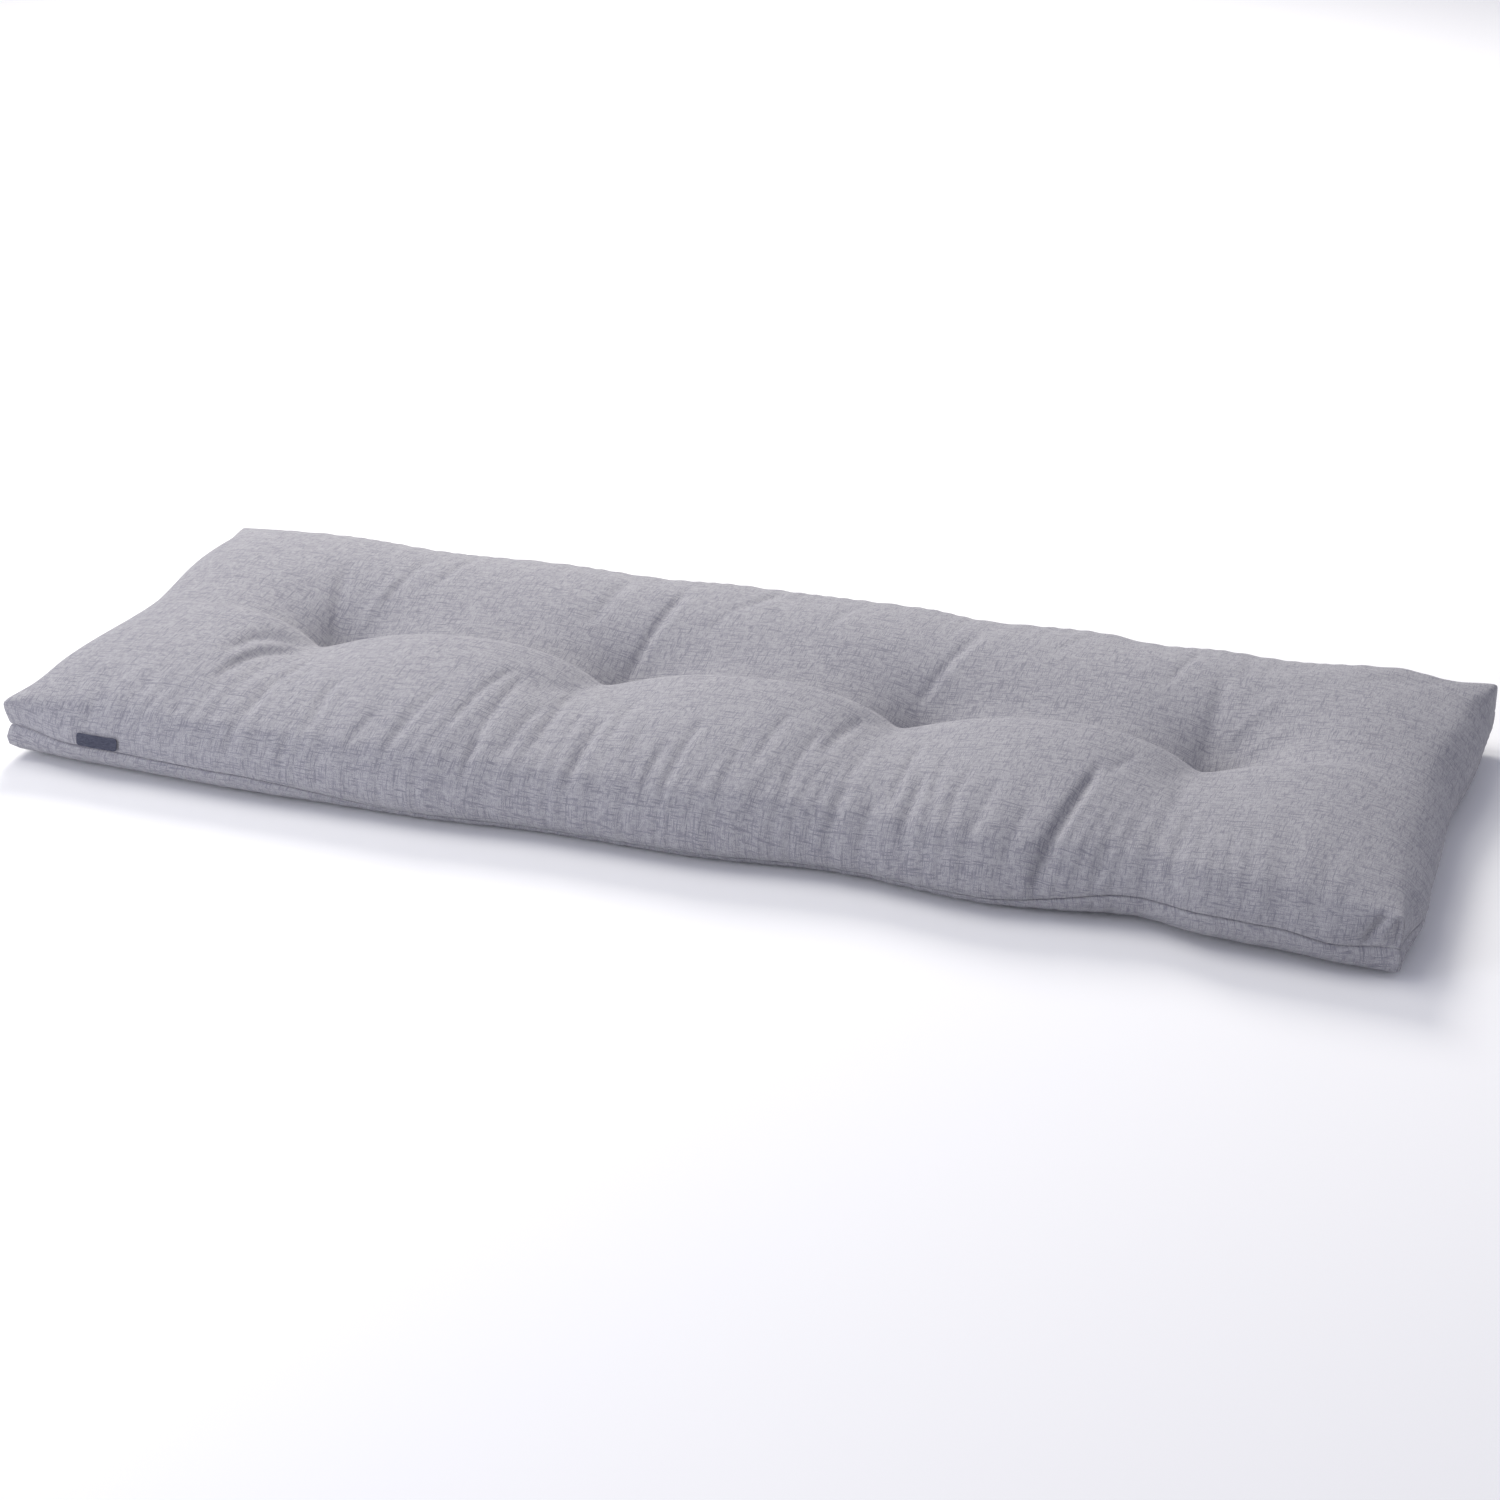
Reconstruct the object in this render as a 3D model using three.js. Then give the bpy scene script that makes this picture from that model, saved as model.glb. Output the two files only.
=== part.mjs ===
import * as THREE from 'three';

// Millimetres. X runs along the length, Y from the front edge to the back edge, Z up from the floor.
const LENGTH = 1200;
const DEPTH = 450;
const CROWN = 83;

// The crown climbs from the rim over a shoulder of this width, along the ends and along the long sides.
const END_SHOULDER = { left: 185, right: 135 };
const SIDE_SHOULDER = 170;
const SHOULDER_POWER = 0.6;

// A boxed corner is an upright edge between two ears; the side shape takes over within the corner run.
const CORNER_RUN = 65;
const CORNERS = {
  frontLeft: { low: 14, high: 55, pinch: 6 },
  frontRight: { low: 9, high: 54, pinch: 3 },
  backRight: { low: 14, high: 64, pinch: 0 },
  backLeft: { low: 12, high: 49, pinch: 5 },
};
const CORNER_ORDER = ['frontLeft', 'frontRight', 'backRight', 'backLeft'];

// Rows of the border from the floor to the rim. Insets are measured from the sewn rectangle. At a corner the
// inset grows by a share of that corner's pinch, and the height is a share of the low ear (lift) plus a share
// of the upright edge above it (rise). The fold share is how much of a fold runs on down the side.
const BORDER = [
  {
    name: 'flat edge', sideInset: 34, sideHeight: 0,
    cornerInset: 75, pinch: 0, lift: 0, rise: 0, foldShare: 0,
  },
  {
    name: 'roll', sideInset: 12, sideHeight: 4,
    cornerInset: 28, pinch: 0, lift: 0.4, rise: 0, foldShare: 0,
  },
  {
    name: 'lower face', sideInset: 1, sideHeight: 12,
    cornerInset: 0, pinch: 0, lift: 1, rise: 0, foldShare: 0.2,
  },
  {
    name: 'lower lip', sideInset: 0, sideHeight: 19,
    cornerInset: 0, pinch: 0.6, lift: 1, rise: 0.35, foldShare: 0.2,
  },
  {
    name: 'seam', sideInset: 4, sideHeight: 23,
    cornerInset: 1, pinch: 1, lift: 1, rise: 0.45, foldShare: 0.1,
  },
  {
    name: 'upper lip', sideInset: 0, sideHeight: 28,
    cornerInset: 0, pinch: 0.6, lift: 1, rise: 0.55, foldShare: 0.3,
  },
  {
    name: 'upper face', sideInset: 0, sideHeight: 42,
    cornerInset: 0, pinch: 0.1, lift: 1, rise: 0.82, foldShare: 0.6,
  },
  {
    name: 'rim', sideInset: 12, sideHeight: 55,
    cornerInset: 1, pinch: 0, lift: 1, rise: 1, foldShare: 1,
  },
];

// How far each side stands out from the straight line between its corners, and how much higher its rim is,
// at places along X or Y.
const SIDES = {
  front: [
    { at: -600, out: 0, up: 0 },
    { at: -540, out: 7, up: 0 },
    { at: -380, out: 8, up: 0 },
    { at: -230, out: 5, up: 0 },
    { at: -100, out: 2, up: 0 },
    { at: 10, out: 3, up: 0 },
    { at: 140, out: -9, up: 0 },
    { at: 265, out: 3, up: 0 },
    { at: 390, out: -16, up: 0 },
    { at: 490, out: 1, up: 2 },
    { at: 560, out: 6, up: 0 },
    { at: 600, out: 0, up: 0 },
  ],
  right: [
    { at: -225, out: 0, up: 0 },
    { at: -120, out: 7, up: 0 },
    { at: 30, out: -2, up: 0 },
    { at: 130, out: 3, up: 4 },
    { at: 225, out: 0, up: 0 },
  ],
  back: [
    { at: -600, out: 0, up: 0 },
    { at: -300, out: -1, up: -3 },
    { at: 100, out: 1, up: 2 },
    { at: 380, out: 1, up: 1 },
    { at: 520, out: 1, up: 10 },
    { at: 600, out: 0, up: 0 },
  ],
  left: [
    { at: -225, out: 0, up: 0 },
    { at: -110, out: -2, up: 0 },
    { at: 10, out: -9, up: 0 },
    { at: 110, out: -3, up: 0 },
    { at: 225, out: 0, up: 0 },
  ],
};
const SIDE_ORDER = ['front', 'right', 'back', 'left'];

// Four tufts in one row pull the top down into pits, with a valley from pit to pit and puffs in front of it.
const TUFT_COUNT = 4;
const TUFT_SPACING = 264;
const TUFT_HEIGHT = 22;
const PIT_REACH = { along: 58, front: 120, back: 50 };
const VALLEY = { depth: 25, front: 17, back: 80, end: 450, fade: 45 };
const PUFF = { height: 6, front: 58, reach: 75 };
const TUFTS = Array.from({ length: TUFT_COUNT }, (_, k) => (k - (TUFT_COUNT - 1) / 2) * TUFT_SPACING);

// The same threads dimple the underside.
const DIMPLE_RINGS = [{ radius: 55, height: 0 }, { radius: 30, height: 5 }, { radius: 10, height: 10 }];
const DIMPLE_TIP = 11;
const DIMPLE_SIDES = 12;

// Main folds: each runs from (x0, y0) through (x1, y1) to (x2, y2). The width is how far from that line the
// fold has sunk to about a third of its height. A trough has a negative height and a ridge a positive one.
const FOLDS = [
  { x0: -389, y0: -57, x1: -424, y1: -98, x2: -429, y2: -180, width: 9, height: -3 },
  { x0: -374, y0: -75, x1: -381, y1: -145, x2: -381, y2: -208, width: 9, height: -3 },
  { x0: -326, y0: -118, x1: -325, y1: -165, x2: -316, y2: -212, width: 9, height: -3 },
  { x0: -176, y0: -60, x1: -198, y1: -110, x2: -203, y2: -188, width: 9, height: -3 },
  { x0: -180, y0: -100, x1: -177, y1: -160, x2: -174, y2: -228, width: 9, height: -3 },
  { x0: -137, y0: -50, x1: -132, y1: -115, x2: -123, y2: -202, width: 9, height: -3 },
  { x0: -88, y0: -116, x1: -85, y1: -168, x2: -83, y2: -226, width: 9, height: -3 },
  { x0: 118, y0: -38, x1: 109, y1: -92, x2: 106, y2: -140, width: 9, height: -3 },
  { x0: 174, y0: -72, x1: 178, y1: -130, x2: 182, y2: -204, width: 9, height: -3 },
  { x0: 196, y0: -130, x1: 198, y1: -176, x2: 200, y2: -224, width: 9, height: -3 },
  { x0: 354, y0: -22, x1: 327, y1: -122, x2: 315, y2: -226, width: 10, height: -6 },
  { x0: -398, y0: 8, x1: -415, y1: 50, x2: -436, y2: 118, width: 10, height: -4 },
  { x0: -131, y0: 20, x1: -124, y1: 75, x2: -114, y2: 165, width: 9, height: -5 },
  { x0: -117, y0: 26, x1: -109, y1: 75, x2: -98, y2: 150, width: 9, height: 2 },
  { x0: 133, y0: 34, x1: 146, y1: 85, x2: 162, y2: 145, width: 9, height: -3 },
  { x0: 391, y0: 22, x1: 388, y1: 60, x2: 382, y2: 145, width: 10, height: -4 },
];
const FOLD_STEPS = 8;
const FOLD_TAPER = 0.25;

// Small gathers along the long sides, fading towards the middle.
const GATHER = { depth: 1.3, shortWave: 34, longWave: 151, sway: 1.4, reach: 70, quietEnds: 110 };

// Spacing of the surface points. Rows crowd towards the sides and towards the tufts.
const END_COLUMNS = 20;
const SPAN_COLUMNS = 26;
const ROWS = 26;
const ROW_CROWDING = 0.45;

const LABEL = { left: -526, right: -487, low: 29, high: 40, clearance: 0.4, thickness: 1, probes: 16 };

const UPRIGHT = new THREE.Vector3(0, 0, 1);

const mix = (a, b, t) => a + (b - a) * t;

function smooth(t) {
  const u = THREE.MathUtils.clamp(t, 0, 1);
  return u * u * (3 - 2 * u);
}

function shoulder(t) {
  const u = THREE.MathUtils.clamp(t, 0, 1);
  return (1 - (1 - u) ** 2) ** SHOULDER_POWER;
}

// Smooth values of a side's table at one place.
function sideAt(table, place) {
  const last = table.length - 1;
  const next = THREE.MathUtils.clamp(table.findIndex((row) => row.at >= place), 1, last);
  const a = table[next - 1];
  const b = table[next];
  const t = smooth((place - a.at) / (b.at - a.at));
  return { out: mix(a.out, b.out, t), up: mix(a.up, b.up, t) };
}

// A fold's path as short straight steps.
function foldPath(fold) {
  const bend = new THREE.QuadraticBezierCurve(
    new THREE.Vector2(fold.x0, fold.y0),
    new THREE.Vector2(2 * fold.x1 - (fold.x0 + fold.x2) / 2, 2 * fold.y1 - (fold.y0 + fold.y2) / 2),
    new THREE.Vector2(fold.x2, fold.y2),
  );
  return bend.getPoints(FOLD_STEPS);
}

const FOLD_PATHS = FOLDS.map((fold) => ({ fold, path: foldPath(fold) }));

// Height that one fold adds at a point, tapering to nothing at both ends of its path.
function foldHeight({ fold, path }, x, y) {
  let nearest = Infinity;
  let along = 0;
  for (let k = 0; k < FOLD_STEPS; k += 1) {
    const a = path[k];
    const b = path[k + 1];
    const run = (b.x - a.x) ** 2 + (b.y - a.y) ** 2;
    const t = THREE.MathUtils.clamp(((x - a.x) * (b.x - a.x) + (y - a.y) * (b.y - a.y)) / run, 0, 1);
    const gap = Math.hypot(x - mix(a.x, b.x, t), y - mix(a.y, b.y, t));
    if (gap < nearest) {
      nearest = gap;
      along = (k + t) / FOLD_STEPS;
    }
  }
  const taper = smooth(Math.min(along, 1 - along) / FOLD_TAPER);
  return fold.height * taper * Math.exp(-((nearest / fold.width) ** 2));
}

function foldsAt(x, y) {
  return FOLD_PATHS.reduce((sum, entry) => sum + foldHeight(entry, x, y), 0);
}

function gatherAt(x, sideGap) {
  const sway = GATHER.sway * Math.sin((2 * Math.PI * x) / GATHER.longWave);
  const wave = Math.sin((2 * Math.PI * x) / GATHER.shortWave + sway);
  const quiet = smooth((LENGTH / 2 - Math.abs(x)) / GATHER.quietEnds);
  return GATHER.depth * wave * quiet * (1 - smooth(sideGap / GATHER.reach));
}

// Point of a border row, t from -1 to 1 along a side. The sides follow one another around the outline, each
// a quarter turn from the last, and folds that reach the front or back run on down it.
function borderPoint(row, side, t) {
  const half = side % 2 === 0 ? LENGTH / 2 : DEPTH / 2;
  const reach = side % 2 === 0 ? DEPTH / 2 : LENGTH / 2;
  const corner = CORNERS[CORNER_ORDER[(side + (t > 0 ? 1 : 0)) % CORNER_ORDER.length]];
  const cornerInset = row.cornerInset + corner.pinch * row.pinch;
  const cornerHeight = corner.low * row.lift + (corner.high - corner.low) * row.rise;
  const along = t * (half - cornerInset);
  const place = side < 2 ? along : -along;
  const open = smooth(((1 - Math.abs(t)) * half) / CORNER_RUN);
  const stand = sideAt(SIDES[SIDE_ORDER[side]], place);
  const sideHeight = row.sideHeight + stand.up * row.rise;
  let out = reach - mix(cornerInset, row.sideInset, open) + stand.out * open;
  if (side % 2 === 0) {
    const y = side === 0 ? -out : out;
    out += row.foldShare * open * (foldsAt(place, y) + gatherAt(place, 0));
  }
  const point = new THREE.Vector3(along, -out, mix(cornerHeight, sideHeight, open));
  return point.applyAxisAngle(UPRIGHT, (side * Math.PI) / 2);
}

// How far the tufts and the valley between them pull the top down, less the height of the puffs.
function tuftPull(x, y) {
  const inRow = 1 / (1 + Math.exp((Math.abs(x) - VALLEY.end) / VALLEY.fade));
  const facing = y < 0 ? 'front' : 'back';
  const valley = VALLEY.depth * inRow * Math.exp(-((y / VALLEY[facing]) ** 2));
  const pitDepth = CROWN - VALLEY.depth - TUFT_HEIGHT;
  const across = y / PIT_REACH[facing];
  const pits = TUFTS.map((tuft) => Math.exp(-Math.hypot((x - tuft) / PIT_REACH.along, across)));
  const isBetween = Math.abs(x) < TUFTS[TUFT_COUNT - 1];
  const between = isBetween ? Math.sin((Math.PI * (x - TUFTS[0])) / TUFT_SPACING) ** 2 : 0;
  const puff = PUFF.height * between * Math.exp(-(((y + PUFF.front) / PUFF.reach) ** 2));
  return valley - puff + pitDepth * Math.max(...pits);
}

// Evenly spaced places from -1 to 1 along the length, from tuft to tuft.
function columnPlaces() {
  const stations = [-LENGTH / 2, ...TUFTS, LENGTH / 2];
  const places = [-1];
  for (let k = 1; k < stations.length; k += 1) {
    const count = k === 1 || k === stations.length - 1 ? END_COLUMNS : SPAN_COLUMNS;
    for (let i = 1; i <= count; i += 1) {
      places.push(mix(stations[k - 1], stations[k], i / count) / (LENGTH / 2));
    }
  }
  return places;
}

function rowPlaces() {
  return Array.from({ length: ROWS + 1 }, (_, j) => {
    const even = (2 * j) / ROWS - 1;
    return even - (ROW_CROWDING * Math.sin(2 * Math.PI * even)) / (2 * Math.PI);
  });
}

function addPoint(skin, point) {
  return skin.points.push(point) - 1;
}

// A band of faces between two closed rings of points, facing outwards where the rings run anticlockwise.
function joinRings(skin, low, high) {
  low.forEach((point, k) => {
    const m = (k + 1) % low.length;
    skin.faces.push(point, low[m], high[m]);
    skin.faces.push(point, high[m], high[k]);
  });
}

function addBorder(skin, columns, rows) {
  const backwards = (places) => places.map((t) => -t).reverse();
  const sidePlaces = [columns, rows, backwards(columns), backwards(rows)];
  const rings = BORDER.map((row) => sidePlaces.flatMap(
    (places, side) => places.slice(0, -1).map((t) => addPoint(skin, borderPoint(row, side, t))),
  ));
  rings.slice(1).forEach((ring, k) => joinRings(skin, rings[k], ring));
  return rings;
}

// Point of the top sheet: spread evenly between the four stretches of the rim, then crowned and folded.
function topPoint(edges, s, t) {
  const u = (s + 1) / 2;
  const v = (t + 1) / 2;
  const point = new THREE.Vector3();
  point.addScaledVector(edges.front, 1 - v);
  point.addScaledVector(edges.back, v);
  point.addScaledVector(edges.left, 1 - u);
  point.addScaledVector(edges.right, u);
  point.addScaledVector(edges.frontLeft, -(1 - u) * (1 - v));
  point.addScaledVector(edges.frontRight, -u * (1 - v));
  point.addScaledVector(edges.backLeft, -(1 - u) * v);
  point.addScaledVector(edges.backRight, -u * v);
  const endGap = (1 - Math.abs(s)) * (LENGTH / 2);
  const sideGap = (1 - Math.abs(t)) * (DEPTH / 2);
  const endShoulder = s < 0 ? END_SHOULDER.left : END_SHOULDER.right;
  const climb = shoulder(endGap / endShoulder) * shoulder(sideGap / SIDE_SHOULDER);
  point.z = mix(point.z, CROWN, climb) - climb * tuftPull(point.x, point.y);
  point.z += foldsAt(point.x, point.y) + gatherAt(point.x, sideGap);
  return point;
}

function addTop(skin, columns, rows, rim) {
  const lastColumn = columns.length - 1;
  const lastRow = rows.length - 1;
  const rimIndex = {
    front: (i) => rim[i],
    right: (j) => rim[lastColumn + j],
    back: (i) => rim[lastColumn + lastRow + (lastColumn - i)],
    left: (j) => rim[(2 * lastColumn + lastRow + (lastRow - j)) % rim.length],
  };
  const rimPoint = (side, k) => skin.points[rimIndex[side](k)];
  const gridIndex = (i, j) => {
    if (j === 0) return rimIndex.front(i);
    if (j === lastRow) return rimIndex.back(i);
    if (i === 0) return rimIndex.left(j);
    if (i === lastColumn) return rimIndex.right(j);
    const edges = {
      front: rimPoint('front', i),
      back: rimPoint('back', i),
      left: rimPoint('left', j),
      right: rimPoint('right', j),
      frontLeft: rimPoint('front', 0),
      frontRight: rimPoint('front', lastColumn),
      backLeft: rimPoint('back', 0),
      backRight: rimPoint('back', lastColumn),
    };
    return addPoint(skin, topPoint(edges, columns[i], rows[j]));
  };
  const grid = columns.map((_, i) => rows.map((__, j) => gridIndex(i, j)));
  for (let i = 0; i < lastColumn; i += 1) {
    for (let j = 0; j < lastRow; j += 1) {
      skin.faces.push(grid[i][j], grid[i + 1][j], grid[i + 1][j + 1]);
      skin.faces.push(grid[i][j], grid[i + 1][j + 1], grid[i][j + 1]);
    }
  }
}

// One dimple of the underside, from its mouth up to its tip. Its rings run clockwise, so it opens downwards.
function addDimple(skin, tuft) {
  const rings = DIMPLE_RINGS.map((ring) => Array.from({ length: DIMPLE_SIDES }, (_, k) => {
    const angle = (-2 * Math.PI * k) / DIMPLE_SIDES;
    const x = tuft + ring.radius * Math.cos(angle);
    return addPoint(skin, new THREE.Vector3(x, ring.radius * Math.sin(angle), ring.height));
  }));
  rings.slice(1).forEach((ring, k) => joinRings(skin, rings[k], ring));
  const tip = addPoint(skin, new THREE.Vector3(tuft, 0, DIMPLE_TIP));
  const inner = rings[rings.length - 1];
  inner.forEach((point, k) => skin.faces.push(point, inner[(k + 1) % DIMPLE_SIDES], tip));
  return rings[0];
}

// The flat underside, open where the dimples are.
function addUnderside(skin, edge) {
  const mouths = TUFTS.map((tuft) => addDimple(skin, tuft));
  const plan = (index) => new THREE.Vector2(skin.points[index].x, skin.points[index].y);
  const flat = [...edge, ...mouths.flat()];
  const triangles = THREE.ShapeUtils.triangulateShape(
    edge.map(plan),
    mouths.map((mouth) => mouth.map(plan)),
  );
  triangles.forEach(([a, b, c]) => skin.faces.push(flat[a], flat[c], flat[b]));
}

// The filled cover as one closed skin.
function cushionGeometry() {
  const skin = { points: [], faces: [] };
  const columns = columnPlaces();
  const rows = rowPlaces();
  const rings = addBorder(skin, columns, rows);
  addTop(skin, columns, rows, rings[rings.length - 1]);
  addUnderside(skin, rings[0]);
  const geometry = new THREE.BufferGeometry().setFromPoints(skin.points).setIndex(skin.faces);
  geometry.computeVertexNormals();
  return geometry;
}

// The label is a flat strip on the front face just above the seam, clear of the cloth behind it.
function labelGeometry() {
  const behind = BORDER.filter((row) => row.name === 'upper lip' || row.name === 'upper face');
  const clothAt = (x) => Math.min(...behind.map((row) => borderPoint(row, 0, x / (LENGTH / 2)).y));
  const length = LABEL.right - LABEL.left;
  const slope = (clothAt(LABEL.right) - clothAt(LABEL.left)) / length;
  const places = Array.from({ length: LABEL.probes + 1 }, (_, k) => (k / LABEL.probes) * length);
  const proudest = Math.min(...places.map((run) => clothAt(LABEL.left + run) - slope * run));
  const strip = new THREE.BoxGeometry(length, LABEL.thickness, LABEL.high - LABEL.low);
  const shear = new THREE.Matrix4().set(1, 0, 0, 0, slope, 1, 0, 0, 0, 0, 1, 0, 0, 0, 0, 1);
  strip.applyMatrix4(shear);
  strip.translate(
    (LABEL.left + LABEL.right) / 2,
    proudest + (slope * length) / 2 - LABEL.clearance - LABEL.thickness / 2,
    (LABEL.low + LABEL.high) / 2,
  );
  return strip;
}

const cloth = new THREE.MeshStandardMaterial({ color: '#a3a3aa', roughness: 0.95, metalness: 0 });
const slate = new THREE.MeshStandardMaterial({ color: '#464858', roughness: 0.85, metalness: 0 });

const cushion = new THREE.Mesh(cushionGeometry(), cloth);
cushion.name = 'cushion';

const label = new THREE.Mesh(labelGeometry(), slate);
label.name = 'label';

// The origin is on the floor under the middle of the whole part.
const benchCushion = new THREE.Group();
benchCushion.add(cushion, label);
const middle = new THREE.Box3().setFromObject(benchCushion).getCenter(new THREE.Vector3());
benchCushion.position.set(-middle.x, -middle.y, 0);

export default benchCushion;
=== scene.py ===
import math
from collections import namedtuple

import bpy
import numpy as np
from mathutils import Matrix, Vector
from mathutils.bvhtree import BVHTree


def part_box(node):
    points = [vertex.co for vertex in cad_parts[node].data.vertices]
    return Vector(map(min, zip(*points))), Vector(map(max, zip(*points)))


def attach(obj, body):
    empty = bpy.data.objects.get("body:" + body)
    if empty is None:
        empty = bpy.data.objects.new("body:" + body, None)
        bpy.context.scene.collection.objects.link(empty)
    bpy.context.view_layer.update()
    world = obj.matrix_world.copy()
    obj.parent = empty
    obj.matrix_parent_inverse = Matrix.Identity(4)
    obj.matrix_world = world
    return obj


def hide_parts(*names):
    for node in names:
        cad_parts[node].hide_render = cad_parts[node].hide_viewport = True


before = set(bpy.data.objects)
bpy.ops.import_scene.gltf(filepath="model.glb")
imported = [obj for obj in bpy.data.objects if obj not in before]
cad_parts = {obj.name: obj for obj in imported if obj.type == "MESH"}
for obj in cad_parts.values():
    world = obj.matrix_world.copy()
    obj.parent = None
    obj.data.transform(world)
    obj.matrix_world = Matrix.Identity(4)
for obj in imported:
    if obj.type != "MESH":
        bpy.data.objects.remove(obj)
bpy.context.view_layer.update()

# Tables are in millimetres, on the sewn rectangle of the cover: X along its length, Y from front to back.
# MIDDLE is where the middle of that rectangle lies in the frame.
MM = 0.001
MIDDLE = (-3.5, 3.8, 0)
LENGTH = 1200
DEPTH = 450

# The top climbs from the rim to its crown over a shoulder of this width.
CROWN = 83
END_SHOULDER = {"left": 185, "right": 135}
SIDE_SHOULDER = 170
SHOULDER_POWER = 0.6

# A boxed corner is an upright edge between two ears; the side shape takes over within the corner run.
# Corners and sides go round the outline, from the front left corner and the front side.
CORNER_RUN = 65
Corner = namedtuple("Corner", "low high pinch")
CORNERS = [Corner(13, 56, 4), Corner(5, 54, 2), Corner(14, 61, 0), Corner(12, 49, 4)]

# Rows of the border from the floor to the rim. Insets are measured from the sewn rectangle. At a corner the
# inset grows by a share of its pinch, or shrinks if the share is below zero, and the height is a share of the
# low ear (lift) plus a share of the upright edge above it (rise). Where the seam lies higher or lower, a row
# follows by a share, and where it lies lower a row is tucked under by a share.
Row = namedtuple("Row", "name side_inset side_height corner_inset pinch lift rise follow tuck")
BORDER = [
    Row("flat edge", 34, 0, 60, 0, 0, 0, 0, 0),
    Row("roll", 14, 3.5, 14, 0, 0.3, 0, 0.15, 0.8),
    Row("lower face", 2, 11.5, 0, -0.8, 1, 0, 0.6, 1),
    Row("lower lip", 0.5, 20.8, 0, 0.7, 1, 0.4, 1, 1),
    Row("below seam", 1.2, 22.4, 0.3, 0.85, 1, 0.435, 1, 0.9),
    Row("seam", 3.2, 23, 1, 1, 1, 0.45, 1, 0.9),
    Row("above seam", 0.7, 23.6, 0.3, 0.85, 1, 0.465, 1, 0.85),
    Row("upper lip", -0.6, 25.5, 0, 0.7, 1, 0.5, 1, 0.55),
    Row("lower front", -1, 32, 0, 0.4, 1, 0.64, 0.7, 0.1),
    Row("upper front", 1, 40, 0, 0.1, 1, 0.79, 0.3, 0),
    Row("shoulder", 6, 48, 0, 0, 1, 0.91, 0, 0),
    Row("rim", 14, 55, 1, 0, 1, 1, 0, 0),
]
ROW_NAMES = [row.name for row in BORDER]
SEAM_ROW = ROW_NAMES.index("seam")

# How far each side stands out from the straight line between its corners, and how much higher its rim and its
# seam are. The seam is rolled under along the middle of the front.
Stand = namedtuple("Stand", "at out up seam")
SIDES = [
    [
        Stand(-600, 0, 0, 0), Stand(-540, 7, 0, 4), Stand(-380, 11, 0, 1), Stand(-230, 11, 0, -13),
        Stand(-100, 2, 0, -14), Stand(10, 3, 0, -14), Stand(140, -9, 0, -14), Stand(265, 3, 0, -12),
        Stand(390, -14, 0, 6), Stand(450, 2, 1, 8), Stand(500, 4, 2, 7), Stand(560, 8, 0, 2),
        Stand(600, 0, 0, 0),
    ],
    [
        Stand(-225, 0, 0, 0), Stand(-165, 7, 0, 3), Stand(-100, 2, 0, 2), Stand(30, -4, 0, -3),
        Stand(130, 1, 4, 2), Stand(225, 0, 0, 0),
    ],
    [
        Stand(-600, 0, 0, 0), Stand(-470, -1, 3, -2), Stand(-375, -1, -1, -4), Stand(-250, 0, 4, -4),
        Stand(-165, 0, 2, -1), Stand(-78, 1, 7, 1), Stand(92, 1, 9, 4), Stand(147, 0, 4, 3),
        Stand(250, 1, 8, 0), Stand(311, 0, 3, -2), Stand(364, 1, 6, -2), Stand(417, 1, 4, 0),
        Stand(520, 1, 13, 3), Stand(600, 0, 0, 0),
    ],
    [
        Stand(-225, 0, 0, 0), Stand(-150, -1, 9, -3), Stand(10, -9, 4, 3), Stand(110, -3, 8, 0),
        Stand(225, 0, 0, 0),
    ],
]

# Four tufts in one row pull the top down into pits, each with a narrow nip behind its thread. A valley runs
# from pit to pit with puffs before it, and the threads dimple the underside.
Tuft = namedtuple("Tuft", "x pit nip")
TUFTS = [Tuft(-398, 33, 12), Tuft(-127, 29, 11), Tuft(140, 29, 13), Tuft(397, 29, 19)]
TUFT_SPACING = (TUFTS[-1].x - TUFTS[0].x) / (len(TUFTS) - 1)
PIT_REACH = {"left": 30, "right": 60, "front": 140, "back": 52}
NIP_REACH = {"left": 24, "right": 26, "front": 10, "back": 38}
VALLEY = {"depth": 25, "front": 14, "back": 80, "end": 450, "fade": 45}
PUFF = {"height": 6, "front": 58, "reach": 75}
DIMPLE = {"height": 4, "radius": 55}

# Spacing of the cover's points before it is refined. Rows crowd to the sides and to the tufts. The underside
# is drawn in by shares of its length and depth, ring after ring.
END_COLUMNS = 42
SPAN_COLUMNS = 60
ROWS = 52
ROW_CROWDING = 0.45
UNDERSIDE_STEPS = [(0.985, 0.96), (0.96, 0.9)]

# The underside is a piece of cloth of its own, so many lengths away from the top on the flat cloth.
UNDERSIDE_ASIDE = 3

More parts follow.
